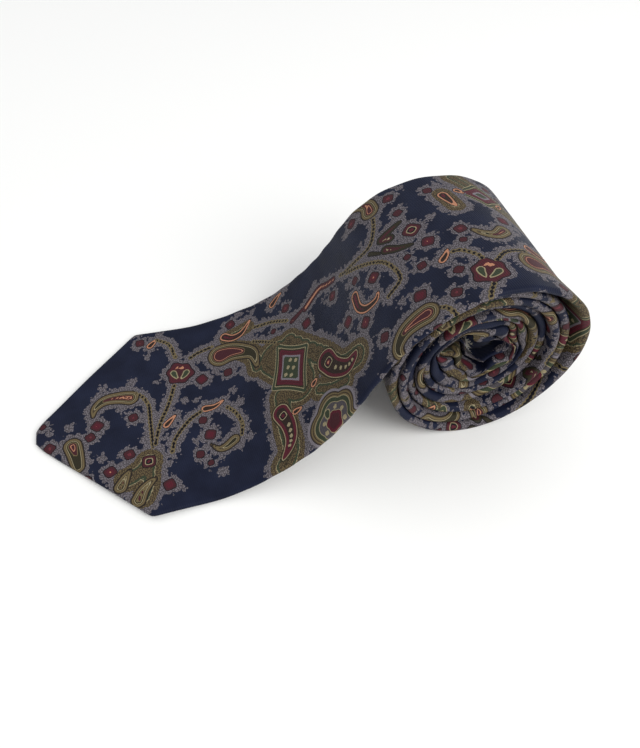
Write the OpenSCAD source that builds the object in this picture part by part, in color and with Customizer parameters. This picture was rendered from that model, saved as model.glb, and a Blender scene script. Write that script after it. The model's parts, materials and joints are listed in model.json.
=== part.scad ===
// Four-in-hand necktie, rolled up from its narrow end, with its wide end left free on the table.
// The tie is followed by one length, s, that starts at the wide end's point. Each piece is swept
// along the same stations of that length, so that pieces which touch share their faces exactly.
// Frame: X along the free end, pointing from its point to the roll; Y along the roll; Z up.
// The origin is the middle of the whole object's base.

/* [Wide end] */
// Width across the side corners of the wide end
blade_w = 90; // [84:1:94]
// How much of the sharp point is lost where the silk folds over it
blunt = 4; // [3:0.5:6]
// Length that lies flat, from the sharp point
laid_l = 64; // [60:1:68]

/* [Rise to the roll] */
// Steepest slope of the rise
rise_angle = 60; // [56:1:62]
// Radius where the silk leaves the table
foot_r = 72; // [68:1:74]
// Radius where the silk comes over onto the roll
crest_r = 42; // [41:1:44]

/* [Roll] */
// Radius of the roll at the top of its outermost turn, at mid thickness
roll_r = 36; // [36:0.2:37]
// Number of turns
turns = 9; // [8:0.1:9]
// Distance between the first two turns
outer_pitch = 3.8; // [3.8:0.02:3.88]
// How much closer each turn lies than the one outside it
pitch_ease = 0.14; // [0.12:0.01:0.14]
// Share of the tie's narrowing that shows at the near end of the roll
near_share = 0.18; // [0.1:0.02:0.9]

/* [Cloth] */
// Thickness of the made-up tie
tie_t = 2.2; // [2.0:0.05:2.2]
// Thickness of the folded silk wall
silk_t = 0.45; // [0.4:0.01:0.46]
// Thickness of the lining at each point
tipping_t = 0.25; // [0.2:0.01:0.28]

/* [Taper] */
// Width where the free end meets the roll
crest_w = 72; // [68:1:76]
// Width where the wide panel is joined to the neck panel
joint_w = 50; // [46:1:54]
// Narrowest width, round the neck
neck_w = 35; // [32:1:37]
// Width across the side corners of the narrow end
tail_w = 38; // [36:1:42]
// Length of the wide panel
blade_panel_l = 760; // [740:10:780]
// Length of the neck panel
neck_panel_l = 270; // [250:10:290]

/* [Trim] */
// Length of the keeper loop's band along the tie
keeper_l = 10; // [8:1:12]
// Span of the keeper loop across the tie
keeper_span = 42; // [38:1:46]
// Size of the blank label across the tie
label_w = 46; // [40:1:50]
// Size of the blank label along the tie
label_l = 20; // [16:1:22]
// Thickness of the labels
label_t = 0.25; // [0.2:0.05:0.3]

/* [Hidden] */

half_t = tie_t / 2;
point_l = blade_w / 2;          // a right-angled point is half as long as it is wide
station_deg = 15;               // turn between two stations round the roll
joint_gap = 0.4;                // clear space where the free end can bend
clear = 0.03;                   // clear space round a sealed inner piece
fold_in = 1.2;                  // how far each side fold slopes in from its edge
thread_w = 0.6;
thread_t = 0.25;

// ---- the path of the tie, at mid thickness, as [x, z, heading in degrees] ----
function turn_r(t) = roll_r - outer_pitch * t + pitch_ease / 2 * t * t;

// The roll rests on the first facet that lies level under its axis.
rest_turn = (180 - station_deg / 2) / 360;
roll_z = (turn_r(rest_turn) + half_t) * cos(station_deg / 2);
top_z = roll_z + roll_r;
rise = top_z - half_t;
slope_l = (rise - (foot_r + crest_r) * (1 - cos(rise_angle))) / sin(rise_angle);
roll_x = laid_l + (foot_r + crest_r) * sin(rise_angle) + slope_l * cos(rise_angle);
arc_steps = 8;

laid_path = [for (x = [0, blunt, blunt + 2, point_l]) [x, half_t, 0]];
foot_path = [for (i = [0:arc_steps]) let (a = rise_angle * i / arc_steps)
    [laid_l + foot_r * sin(a), half_t + foot_r * (1 - cos(a)), a]];
crest_path = [for (i = [arc_steps:-1:0]) let (a = rise_angle * i / arc_steps)
    [roll_x - crest_r * sin(a), top_z - crest_r * (1 - cos(a)), a]];
roll_path = [for (a = [station_deg / 2:station_deg:360 * turns]) let (r = turn_r(a / 360))
    [roll_x + r * sin(a), roll_z + r * cos(a), -a]];
path = concat(laid_path, foot_path, crest_path, roll_path);

function gap(i) = norm([path[i + 1][0] - path[i][0], path[i + 1][1] - path[i][1]]);
last = len(path) - 1;
lengths = [for (i = 0, s = 0; i <= last; s = s + (i < last ? gap(i) : 0), i = i + 1) s];
end_s = lengths[last];
crest_s = lengths[len(laid_path) + len(foot_path) + len(crest_path) - 1];

// Half of the object's length, so that the origin falls in the middle of it.
right_x = roll_x + (turn_r((90 - station_deg / 2) / 360) + half_t) * cos(station_deg / 2);
mid_x = (blunt + right_x) / 2;

x_of = [for (i = [0:last]) [lengths[i], path[i][0] - mid_x]];
z_of = [for (i = [0:last]) [lengths[i], path[i][1]]];
nx_of = [for (i = [0:last]) [lengths[i], -sin(path[i][2])]];
nz_of = [for (i = [0:last]) [lengths[i], cos(path[i][2])]];

// The narrower inner turns lie towards the near end, so that it is almost level.
function slide(w) = (near_share - 0.5) * (crest_w - w);
slide_of = [[crest_s, 0], [crest_s + 220, slide(crest_w - 8)], [blade_panel_l, slide(joint_w)],
    [blade_panel_l + neck_panel_l, slide(neck_w)]];

// A point of the tie: s along it, y across it, n out of its printed face from mid thickness.
function place(s, y, n) = [lookup(s, x_of) + n * lookup(s, nx_of), y + lookup(s, slide_of),
    lookup(s, z_of) + n * lookup(s, nz_of)];

function heading(s) = atan2(-lookup(s, nx_of), lookup(s, nz_of));

// ---- widths ----
tail_point_s = end_s - tail_w / 2;
width_of = [
    [0, 0], [blunt, 5], [blunt + 2, 2 * blunt + 4], [point_l, blade_w], [crest_s, crest_w],
    [crest_s + 220, crest_w - 8], [blade_panel_l, joint_w],
    [blade_panel_l + neck_panel_l, neck_w], [tail_point_s, tail_w],
    [end_s - 3, 6], [end_s - 2, 4]
];
function half_w(s) = lookup(s, width_of) / 2;

// Half widths of the lining panels that fill the open backs of the two ends.
blade_lining = [[16, 1], [47, 32], [112, 1]];
tail_lining = [[end_s - 50, 1], [end_s - 22, 13], [end_s - 9, 1]];

// ---- sweeping ----
function sorted(v) = len(v) < 2 ? v : let (p = v[floor(len(v) / 2)])
    concat(sorted([for (a = v) if (a < p) a]), [p], sorted([for (a = v) if (a > p) a]));
function inside(v, a, b) = [for (s = v) if (s > a + 0.05 && s < b - 0.05) s];
function stops(a, b, extra = []) =
    concat([a], sorted(concat(inside(lengths, a, b), inside(extra, a, b))), [b]);
function width_stops() = [tail_point_s, end_s - 3];

function ring(s, section) = [for (p = section(s)) place(s, p[0], p[1])];
function walls(n, rings, start) = [for (i = [0:rings - 2]) for (j = [0:n - 1])
    let (a = start + i * n + j, b = start + i * n + (j + 1) % n)
    each [[a, b, a + n], [b, b + n, a + n]]];
function turned(faces) = [for (f = faces) [for (i = [len(f) - 1:-1:0]) f[i]]];
function cap(n, start) = [for (j = [n - 1:-1:0]) start + j];
function collar(n, a, b) = [for (j = [0:n - 1]) let (k = (j + 1) % n)
    each [[a + k, a + j, b + j], [a + k, b + j, b + k]]];

// A solid strip with a section that may change along the tie.
module strip(a, b, section, extra = []) {
    at = stops(a, b, extra);
    n = len(section(a));
    points = [for (s = at) each ring(s, section)];
    polyhedron(points, turned(concat(
        walls(n, len(at), 0), [cap(n, 0)], turned([cap(n, n * (len(at) - 1))]))));
}

// A sleeve: a folded wall round a hollow. It is open at an end where the hollow reaches it.
module sleeve(a, b, hollow_a, hollow_b, extra = []) {
    outer_at = stops(a, b, extra);
    inner_at = stops(hollow_a, hollow_b, extra);
    n = 6;
    start = n * len(outer_at);
    outer_last = start - n;
    inner_last = start + n * (len(inner_at) - 1);
    points = concat(
        [for (s = outer_at) each ring(s, function (s) folded(s, 0))],
        [for (s = inner_at) each ring(s, function (s) folded(s, silk_t))]);
    ends = concat(
        hollow_a == a ? collar(n, 0, start) : [cap(n, 0), each turned([cap(n, start)])],
        hollow_b == b ? turned(collar(n, outer_last, inner_last))
            : [each turned([cap(n, outer_last)]), cap(n, inner_last)]);
    polyhedron(points, turned(concat(
        walls(n, len(outer_at), 0), turned(walls(n, len(inner_at), start)), ends)));
}

// Section of the folded silk, drawn in from the outside by some depth.
function folded(s, depth) = let (h = half_w(s) - depth, t = half_t - depth, f = min(fold_in, h / 2))
    [[-h, 0], [-h + f, -t], [h - f, -t], [h, 0], [h - f, t], [-h + f, t]];
function block(y0, y1, n0, n1) = [[y0, n0], [y1, n0], [y1, n1], [y0, n1]];

back = -half_t;
cavity = half_t - silk_t;
hollow_inset = 2 * silk_t;

// Felted wool inside the sleeve, lying against the back of it.
module interlining(a, b, extra = []) {
    strip(a, b, function (s) let (h = half_w(s) - silk_t - fold_in)
        block(-h, h, -cavity + clear, cavity - tipping_t - 2 * clear), extra);
}

function lining_section(table, extra, depth) = function (s) let (v = lookup(s, table) + extra)
    block(-v, v, back - depth, back + tipping_t);
function lining_stops(table) = [table[1][0]];

module lining(table) {
    strip(table[0][0], table[2][0], lining_section(table, 0, 0), lining_stops(table));
}

// The space in the back of the silk that the lining and its stitches fill.
module lining_space(table) {
    strip(table[0][0] - 0.4, table[2][0] + 0.4, lining_section(table, 0.4, 1), lining_stops(table));
}

// Short hem stitches in the narrow gap all round the lining.
module hem_stitches(table, pitch, stitch_l) {
    for (s = [table[0][0] + 2:pitch:table[2][0] - 2 - stitch_l])
        if (s + stitch_l < table[1][0] || s > table[1][0])
            for (side = [-1, 1])
                strip(s, s + stitch_l, function (s) let (v = lookup(s, table), y = side * (v + 0.2))
                    block(y - 0.1, y + 0.1, back + 0.03, back + tipping_t - 0.03));
}

function on_back(y0, y1, depth, lift = 0) =
    function (s) block(y0, y1, back - lift - depth, back - lift);

module bar_tack(s, half) {
    color("#1b2136") strip(s, s + 2, on_back(-half, half, 0.45));
}

module slip_stitch(a, b) {
    color("#20263d") strip(a, b, on_back(-thread_w / 2, thread_w / 2, thread_t));
}

// ---- the free end ----
free_end_s = crest_s - joint_gap / 2;
roll_start_s = crest_s + joint_gap / 2;
tack_s = blade_lining[2][0] + 1;
label_s = tack_s + 10;
keeper_s = label_s + label_l + 6;
keeper_h = 1.6;                 // how far the keeper loop stands off the back
keeper_t = 0.5;
keeper_end = 3;                 // length of each sewn-down end

module blade_silk_free() {
    color("#232a45") difference() {
        sleeve(blunt, free_end_s, blunt + hollow_inset + 1, free_end_s);
        lining_space(blade_lining);
    }
}

module interlining_free() {
    color("#e6e0d0") interlining(blunt + 5, free_end_s);
}

module blade_tipping() {
    color("#2a3152") lining(blade_lining);
}

module blade_tipping_stitches() {
    color("#11172b") hem_stitches(blade_lining, 4, 2);
}

module blade_bar_tack() {
    bar_tack(tack_s, 4);
}

module slip_stitch_free() {
    slip_stitch(tack_s + 2.3, free_end_s);
}

// The slack end of the thread, left as a small loop so that the tie can give.
module slip_stitch_end_loop() {
    loop_r = 2;
    s = tack_s + 5;
    color("#20263d") translate(place(s, -3.5, back - 0.45)) rotate([0, -heading(s), 0])
        rotate_extrude($fn = 32) translate([loop_r, 0]) circle(r = 0.18, $fn = 16);
}

module keeper_loop() {
    y = keeper_span / 2;
    color("#232a45") difference() {
        strip(keeper_s, keeper_s + keeper_l, on_back(-y, y, keeper_h));
        strip(keeper_s - 1, keeper_s + keeper_l + 1,
            on_back(keeper_end - y, y - keeper_end, keeper_h - keeper_t + 1, -1));
    }
}

module keeper_loop_tacks() {
    for (side = [-1, 1]) let (y = side * (keeper_span / 2 + 0.3))
        color("#11172b") strip(keeper_s + 1, keeper_s + keeper_l - 1, on_back(y - 0.3, y + 0.3, 0.6));
}

module blank_label() {
    color("#141826") strip(label_s, label_s + label_l,
        on_back(-label_w / 2, label_w / 2, label_t, thread_t + 0.05));
}

module label_tacks() {
    for (s = [label_s + 0.5, label_s + label_l - 2]) for (side = [-1, 1])
        let (y = side * (label_w / 2 - 2))
            color("#c9a65a") strip(s, s + 1.5, on_back(y - 1.5, y + 1.5, thread_t + 0.05));
}

// ---- the roll ----
neck_s = blade_panel_l;
tail_s = blade_panel_l + neck_panel_l;
tail_tack_s = tail_lining[0][0] - 3;

module blade_silk_rolled() {
    color("#262d49") sleeve(roll_start_s, neck_s, roll_start_s, neck_s);
}

module interlining_rolled() {
    color("#e6e0d0") interlining(roll_start_s, end_s - 6, width_stops());
}

module neck_silk() {
    color("#2b3350") sleeve(neck_s, tail_s, neck_s, tail_s);
}

module tail_silk() {
    color("#323b5c") difference() {
        sleeve(tail_s, end_s - 2, tail_s, end_s - 4, width_stops());
        lining_space(tail_lining);
    }
}

// Pressed seam allowances and the stitching that joins two panels.
module panel_seam(s) {
    color("#1a2038") strip(s - 4, s + 4, function (s) let (h = half_w(s) - silk_t - fold_in)
        block(-h, h, cavity - tipping_t + clear, cavity - clear));
}

module blade_neck_seam() {
    panel_seam(neck_s);
}

module neck_tail_seam() {
    panel_seam(tail_s);
}

module slip_stitch_rolled() {
    slip_stitch(roll_start_s, tail_tack_s - 0.3);
}

module tail_tipping() {
    color("#2a3152") lining(tail_lining);
}

module tail_tipping_stitches() {
    color("#11172b") hem_stitches(tail_lining, 3, 1.5);
}

module tail_bar_tack() {
    s = tail_tack_s;
    color("#1b2136") strip(s, s + 1.5, on_back(-2.5, 2.5, thread_t));
}

module care_label() {
    s = tail_tack_s - 24;
    color("#f2f0ea") strip(s, s + 18, on_back(3, 13, label_t));
}

blade_silk_free();
interlining_free();
blade_tipping();
blade_tipping_stitches();
blade_bar_tack();
slip_stitch_free();
slip_stitch_end_loop();
keeper_loop();
keeper_loop_tacks();
blank_label();
label_tacks();
blade_silk_rolled();
interlining_rolled();
neck_silk();
tail_silk();
blade_neck_seam();
neck_tail_seam();
slip_stitch_rolled();
tail_tipping();
tail_tipping_stitches();
tail_bar_tack();
care_label();
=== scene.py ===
# A rolled printed silk necktie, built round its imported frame. Lengths in this script are in
# millimetres; MM turns them to metres where a mesh is made. Every layer is placed by lay(),
# which follows the tie by s, its length from the wide end's point, so no layer crosses another.
import json
import math

import bpy
import numpy as np
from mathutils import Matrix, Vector


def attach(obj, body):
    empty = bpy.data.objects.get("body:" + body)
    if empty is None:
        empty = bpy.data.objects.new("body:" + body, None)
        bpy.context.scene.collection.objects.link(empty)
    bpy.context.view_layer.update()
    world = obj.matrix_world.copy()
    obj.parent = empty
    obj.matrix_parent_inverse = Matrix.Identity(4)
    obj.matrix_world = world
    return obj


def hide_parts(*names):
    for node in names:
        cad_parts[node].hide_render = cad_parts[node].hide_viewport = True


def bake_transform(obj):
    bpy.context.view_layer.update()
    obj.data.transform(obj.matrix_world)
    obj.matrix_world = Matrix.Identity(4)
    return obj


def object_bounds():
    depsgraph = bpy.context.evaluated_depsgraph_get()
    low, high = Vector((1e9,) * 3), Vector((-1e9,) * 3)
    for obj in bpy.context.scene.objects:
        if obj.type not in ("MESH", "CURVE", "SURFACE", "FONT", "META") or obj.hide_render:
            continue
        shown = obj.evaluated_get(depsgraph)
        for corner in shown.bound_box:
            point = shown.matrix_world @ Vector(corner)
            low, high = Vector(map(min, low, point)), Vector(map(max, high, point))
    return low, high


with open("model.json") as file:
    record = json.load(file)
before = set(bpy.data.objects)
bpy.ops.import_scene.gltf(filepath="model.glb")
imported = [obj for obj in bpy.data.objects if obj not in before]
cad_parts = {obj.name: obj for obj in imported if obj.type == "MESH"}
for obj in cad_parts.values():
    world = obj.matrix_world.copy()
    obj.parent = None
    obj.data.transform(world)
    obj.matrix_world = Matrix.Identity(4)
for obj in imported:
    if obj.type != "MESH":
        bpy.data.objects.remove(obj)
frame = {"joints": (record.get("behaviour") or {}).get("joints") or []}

cad_low, cad_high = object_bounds()
MM = 0.001

# ---- sizes, as the frame was designed ----
BLUNT = 4.0                 # how much of the sharp point is lost in the fold
LAID_L = 64.0               # length that lies flat
RISE = math.radians(60)     # steepest slope of the rise
FOOT_R, CREST_R = 72.0, 42.0
ROLL_R, TURNS = 36.0, 9.0
PITCH, PITCH_EASE = 3.8, 0.14
TIE_T = 2.2                 # thickness of the made-up tie
SILK_T = 0.3                # thickness of one silk wall
CREST_W, JOINT_W, NECK_W, TAIL_W = 72.0, 50.0, 35.0, 38.0
BLADE_PANEL_L, NECK_PANEL_L = 760.0, 270.0
OVERLAP = 3.0               # how far each back flap passes the middle
FOLD_IN = 1.5               # depth of the soft fold along each side
NEAR_SHARE = 0.18           # share of the tie's narrowing that shows at the roll's near end
HALF_T = TIE_T / 2
BACK = -HALF_T              # depth of the tie's back, seen from mid thickness
GRID, INNER_GRID = 1.1, 1.7     # distance between grid points on the outer turn, and further in
HOLLOW_R = 20.0             # the loose turns within this distance of the roll's middle crumple

hinge = [c / MM for c in frame["joints"][0]["pos_m"]]
roll_x, roll_top = hinge[0], hinge[2] - HALF_T
roll_z = roll_top - ROLL_R
point_x = cad_low.x / MM - BLUNT
blade_w = (cad_high.y - cad_low.y) / MM


def ease(x):
    """0 before 0, 1 after 1, and smooth between."""
    x = np.clip(x, 0, 1)
    return x * x * (3 - 2 * x)


# ---- the path of the tie at mid thickness ----
def tie_path():
    """Stations every quarter millimetre or so: length, x, z and heading."""
    arc = np.linspace(0, RISE, 240)
    slope_l = (roll_top - HALF_T - (FOOT_R + CREST_R) * (1 - math.cos(RISE))) / math.sin(RISE)
    foot_x = point_x + LAID_L
    top_of_foot = (foot_x + FOOT_R * math.sin(RISE), HALF_T + FOOT_R * (1 - math.cos(RISE)))
    t = np.linspace(0, TURNS, 6000)
    curl_in = 4.2 * ease((t - TURNS + 0.7) / 0.7)    # the tail's point turns in to the middle
    r = ROLL_R - PITCH * t + PITCH_EASE / 2 * t * t - curl_in
    turn = 2 * math.pi * t
    parts = [
        (np.linspace(point_x, foot_x, 200), np.full(200, HALF_T)),
        (foot_x + FOOT_R * np.sin(arc), HALF_T + FOOT_R * (1 - np.cos(arc))),
        (top_of_foot[0] + np.linspace(0, slope_l, 60) * math.cos(RISE),
         top_of_foot[1] + np.linspace(0, slope_l, 60) * math.sin(RISE)),
        (roll_x - CREST_R * np.sin(arc[::-1]), roll_top - CREST_R * (1 - np.cos(arc[::-1]))),
        (roll_x + r * np.sin(turn), roll_z + r * np.cos(turn)),
    ]
    x, z = (np.concatenate([p[i][:-1] for p in parts]) for i in (0, 1))
    s = np.r_[0, np.cumsum(np.hypot(np.diff(x), np.diff(z)))]
    heading = np.unwrap(np.arctan2(np.gradient(z), np.gradient(x)))
    return s, x, z, heading


path_s, path_x, path_z, path_h = tie_path()
end_s = path_s[-1]
crest_s = path_s[np.argmax(path_z)]
split_s = crest_s + math.pi * (ROLL_R - PITCH / 4)   # under the roll, half a turn on

width_s = [0, BLUNT, BLUNT + 2, blade_w / 2, crest_s, crest_s + 220, BLADE_PANEL_L,
           BLADE_PANEL_L + NECK_PANEL_L, end_s - TAIL_W / 2, end_s - 3, end_s - 2]
width_w = [0, 5, 12, blade_w, CREST_W, CREST_W - 8, JOINT_W, NECK_W, TAIL_W, 6, 4]


def half_w(s):
    """Half the tie's width, with the side corners a little rounded."""
    s = np.asarray(s, float)
    return sum(np.interp(s + d, width_s, width_w) for d in (-1.2, -0.6, 0, 0.6, 1.2)) / 10


def slide(s):
    """The narrower inner turns lie towards the near end, so that it is almost level."""
    at = (crest_s, crest_s + 220, BLADE_PANEL_L, BLADE_PANEL_L + NECK_PANEL_L)
    return np.interp(s, at, [(NEAR_SHARE - 0.5) * (CREST_W - w)
                             for w in (CREST_W, CREST_W - 8, JOINT_W, NECK_W)])


def lay(s, y, n):
    """A point of the tie: s along it, y across it, n out of its printed face. The soft unevenness
    of the rolled cloth is here, the same for every layer at one place."""
    s, y, n = np.broadcast_arrays(*(np.asarray(v, float) for v in (s, y, n)))
    rolled = ease((s - crest_s) / 50)
    h = np.interp(s, path_s, path_h)
    turns_in = np.maximum(-h, 0) / (2 * math.pi)
    # In the roll the back of each turn swells until it all but meets the next turn.
    fuller = ease(turns_in / 0.3) * np.maximum(PITCH - PITCH_EASE * turns_in - TIE_T - 0.4, 0)
    n = np.where(n < 0, n * (1 + fuller / HALF_T), n)
    free = ease((s - 62) / 30) * (1 - rolled)
    edge = np.clip(np.abs(y) / np.maximum(half_w(s), 1), 0, 1) ** 2
    # Broad soft swells, and small ripples along the folded sides.
    swell = 0.45 * np.sin(s / 15 + y / 26) + 0.3 * np.sin(s / 8.5 - y / 17 + 2)
    ripple = 0.16 * np.sin(s / 1.9 + 3 * np.sin(s / 21)) * edge**3
    lift = 0.5 * edge**2 * (1 + np.sin(s / 13 + np.sign(y)))
    lift = lift * ease((s - 10) / 20) * (1 - ease((s - 90) / 30))
    n = n + free * swell + (free + 0.3 * rolled) * ripple + lift
    # The near side of the outer turn stands out from the roll a little.
    n = n + 3.4 * ease((-y - 20) / 16) * np.exp(-((s - crest_s - 52) / 24) ** 2)
    # Each turn slips sideways by its own amount, and the sides wander.
    slip = ease((s - crest_s - 40) / 60) * (1.1 * np.sin(s / 57 + 0.6) + 0.8 * np.sin(s / 31 + 1))
    slip = slip + 5 * ease((turns_in - 6.2) / 1.6)      # the tail lies deeper in the hollow
    wander = 0.5 * np.sin(s / 19 + 2 * np.sign(y)) * edge * ease((s - 50) / 30)
    y_at = y + slide(s) + slip + np.sign(y) * wander
    x = np.interp(s, path_s, path_x) - n * np.sin(h)
    z = np.interp(s, path_s, path_z) + n * np.cos(h)
    # The loose turns round the hollow are pressed out of round, and crumple towards its middle.
    dx, dz = x - roll_x, z - roll_z
    r, turn = np.hypot(dx, dz), np.arctan2(dz, dx)
    loose = ease((HOLLOW_R - r) / 12) * (rolled > 0)
    k = 1 + loose * 0.16 * np.cos(2 * turn + 0.9)
    dx, dz = dx * k + 1.2 * loose, dz * k
    dx = dx + loose * 3.4 * np.sin(dz / 3.3 + y_at / 9)
    dz = dz + loose * 3.0 * np.sin(dx / 2.9 - y_at / 8 + 1)
    dx = dx + loose * 1.5 * np.sin(dz / 1.7 + y_at / 6)
    x, z = roll_x + dx, roll_z + dz
    # The tie twists a little as it rises: its near side is higher and further back.
    x = x + 0.038 * y_at * ease((s - 45) / 60)
    z = z * (1 - 0.00155 * y_at)
    return np.stack([x, y_at, z], -1)


# ---- the print's outlines: s along the tie, u across its printed face ----
LEAF, BUD, DOTTED, OLIVE, PEACH, STEM, ROSE, MEDAL, RED, LOBED, SPINDLE, SEED = range(12)
CORE, DROP, CREST, GEM, BEAD = range(12, 17)        # small figures drawn over the motifs
# How far the grey halo reaches past each kind's outline.
HALO_OUT = {LEAF: 0.3, BUD: 1.75, DOTTED: 2.1, OLIVE: 2.2, PEACH: 2.2, STEM: 2.2, ROSE: 2.4, MEDAL: 2.6,
            RED: 2.6, LOBED: 1.2, SPINDLE: 2.3, SEED: 1.9}
REPEAT = np.array([[133.5, -43.5], [90.0, 90.0]])   # half-drop repeat, turned to the bias
SHOWN_L, SHOWN_HALF = 214, 45       # the part whose motifs are placed one by one
GOLD_HALO = 2.4                     # how far the halo reaches past the gold ground
CELL = 14                           # side of the squares that near motifs are looked up by
FAR = 9.0                           # a distance that stands for no motif near
REACH = 5.0                         # how far past its outline a motif is measured


def smooth_line(points, count):
    """A curve through points, by Catmull and Rom's rule."""
    p = np.array(points, float)
    if len(p) < 3:
        return p[0] + np.linspace(0, 1, count)[:, None] * (p[-1] - p[0])
    p = np.vstack([2 * p[0] - p[1], p, 2 * p[-1] - p[-2]])
    at = np.linspace(0, len(p) - 3, count)
    i = np.minimum(at.astype(int), len(p) - 4)
    t = (at - i)[:, None]
    a, b, c, d = p[i], p[i + 1], p[i + 2], p[i + 3]
    return 0.5 * (2 * b + (c - a) * t + (2 * a - 5 * b + 4 * c - d) * t**2
                  + (3 * b - a - 3 * c + d) * t**3)


def tapered(kind, points, head, tail=0.35):
    """A motif that is a row of circles along a curve, from a round head to a fine tail."""
    line = smooth_line(points, 30)
    t = np.linspace(0, 1, len(line))
    radii = tail + (head - tail) * (1 - t) ** 0.9 * (1 + 0.35 * t)
    return {"kind": kind, "line": line, "radii": radii}


def stem(*points):
    line = smooth_line(points, 12 + 8 * len(points))
    return {"kind": STEM, "line": line, "radii": np.full(len(line), 0.8)}


def spot(kind, s, u, radius, turn=0.0):
    return {"kind": kind, "line": np.array([[s, u]], float), "radii": np.array([radius]), "turn": turn}


def along(line):
    return np.r_[0, np.cumsum(np.hypot(*np.diff(line, axis=0).T))]


def measure(m, p):
    """Distance of points from a motif's outline, negative inside, and the length along it."""
    if len(m["line"]) > 1:
        return line_gap(m, p)
    q = p - m["line"][0]
    c, sn = np.cos(m["turn"]), np.sin(m["turn"])
    x, y = q[:, 0] * c + q[:, 1] * sn, q[:, 1] * c - q[:, 0] * sn
    r = m["radii"][0]
    d, a = np.hypot(x, y) - r, np.zeros(len(p))
    if m["kind"] in (BUD, DOTTED, GEM):         # a square with round corners
        half, corner = r * 0.92, 0.45 * r
        e = np.maximum(np.abs(np.stack([x, y], 1)) - (half - corner), 0)
        inside = np.minimum(np.maximum(np.abs(x), np.abs(y)) - half + corner, 0)
        d = np.hypot(e[:, 0], e[:, 1]) + inside - corner
    if m["kind"] == MEDAL:                      # a leaning square whose sides are large hollow arcs
        arc_r, x, low = 6 * r, x + 0.3 * y, 0.88 * y
        away = 0.88 * r + arc_r
        d = np.max([arc_r - np.hypot(x - k * away, low) for k in (-1, 1)]
                   + [arc_r - np.hypot(x, low - k * away) for k in (-1, 1)]
                   + [np.hypot(x, y) - 1.6 * r], axis=0)
    if m["kind"] == ROSE:
        turn = np.arctan2(y, x)
        d = np.hypot(x, y) - r * (1 + 0.09 * np.cos(6 * turn + 0.6) + 0.05 * np.cos(3 * turn))
    if m["kind"] == LOBED:
        d = d - 0.16 * np.hypot(x, y) * (np.abs(np.cos(2.5 * np.arctan2(y, x))) - 0.64)
    return d, a


def line_gap(m, p):
    """Distance from a row of circles along a curve, and the length along it, without steps."""
    line, radii = m["line"], m["radii"]
    gap = p[:, None, :] - line[None, :, :]
    near = (np.hypot(gap[..., 0], gap[..., 1]) - radii).argmin(1)
    best, run, lengths = np.full(len(p), np.inf), np.zeros(len(p)), along(line)
    for k in (-1, 0):
        i = np.clip(near + k, 0, len(line) - 2)
        a, ab = line[i], line[i + 1] - line[i]
        t = np.clip(((p - a) * ab).sum(1) / (ab**2).sum(1), 0, 1)
        d = np.hypot(*(p - a - t[:, None] * ab).T) - (radii[i] + t * (radii[i + 1] - radii[i]))
        run = np.where(d < best, lengths[i] + t * np.hypot(*ab.T), run)
        best = np.minimum(best, d)
    return best, run


def drops():
    """Peach drops that lie between the larger motifs: radii at head and tail, and the curve."""
    return [tapered(PEACH, points, head, tail) for head, tail, *points in (
        (1.3, 0.3, (54, -7), (56, -5), (58, -3)), (1.5, 0.3, (70, -3), (74, -3), (78, -1)),
        (2.0, 0.6, (151, 0), (151, -6), (154, -10), (159, -11), (161, -9)),
        (1.3, 0.3, (51, 36), (53, 38), (54, 39)), (1.3, 0.3, (185, -13), (187, -11), (188, -9)),
        (1.5, 0.3, (108, 35), (111, 37), (114, 38)),
        (1.9, 0.4, (83, 31), (86, 29), (90, 29), (93, 31), (96, 34)),
        (1.9, 0.6, (197, 21), (198, 17), (199, 13)))]


def curls():
    """Olive curled motifs, almonds, roses and the stems that join them."""
    curled = [tapered(kind, points, head, tail) for kind, head, tail, *points in (
        (OLIVE, 3.5, 0.7, (41, 10), (37, 11), (31, 11), (27, 8), (26, 4)),
        (OLIVE, 3.6, 2.6, (18, -8), (19, -12), (20, -18)),
        (OLIVE, 2.2, 0.4, (80, -21), (76, -23), (73, -23), (70, -20)),
        (OLIVE, 5.6, 1.2, (80, 22), (84, 22), (89, 20), (94, 16), (95, 9)),
        (OLIVE, 4.2, 1.6, (173, -31), (169, -31), (164, -32), (160, -35), (159, -39)),
        (OLIVE, 3.0, 0.9, (210, -4), (206, -7), (202, -6), (199, -3)),
        (OLIVE, 3.9, 0.9, (171, 30), (171, 34), (168, 37), (164, 38)),
        (SPINDLE, 1.5, 1.3, (124, 20), (129, 22), (134, 23), (138, 21), (143, 19)),
        (SPINDLE, 1.2, 0.5, (116, 19), (120, 20), (124, 21)),
        (SEED, 1.9, 0.6, (173, 10), (170, 12), (176, 14), (179, 15)),
        (SEED, 1.9, 0.6, (170, 6), (174, 3), (179, 1)),
        (SEED, 0.9, 0.5, (164, 10), (166, 8), (168, 6)))]
    heads = [spot(ROSE, 62, 18, 5.4, -0.15), spot(ROSE, 196, -25, 5.6, -0.5), spot(DOTTED, 181, 8, 3.1, 0.75)]
    stems = [stem(*points) for points in (
        ((43, 12), (46, 9), (48, 4), (48, -3), (48, -10), (48, -16)),
        ((59, 12), (57, 6), (55, 1), (52, -5), (50, -11), (49, -15)),
        ((55, -20), (57, -14), (63, -7), (68, -4)), ((79, -5), (82, -9), (84, -15), (83, -20)),
        ((54, 39), (59, 35), (61, 27)), ((67, 25), (71, 27), (77, 28)),
        ((95, 22), (101, 18), (106, 14)), ((97, 29), (106, 26), (114, 21)),
        ((147, 17), (151, 15), (164, 13), (169, 19), (171, 25)),
        ((151, 14), (160, 8), (167, 2), (170, -5), (170, -11), (164, -14)),
        ((189, -11), (192, -12), (196, -17), (196, -19)), ((195, -31), (192, -36), (192, -42)),
        ((175, -31), (179, -33), (181, -39)), ((200, -21), (205, -17), (214, -15)))]
    return curled + heads + stems


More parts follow.
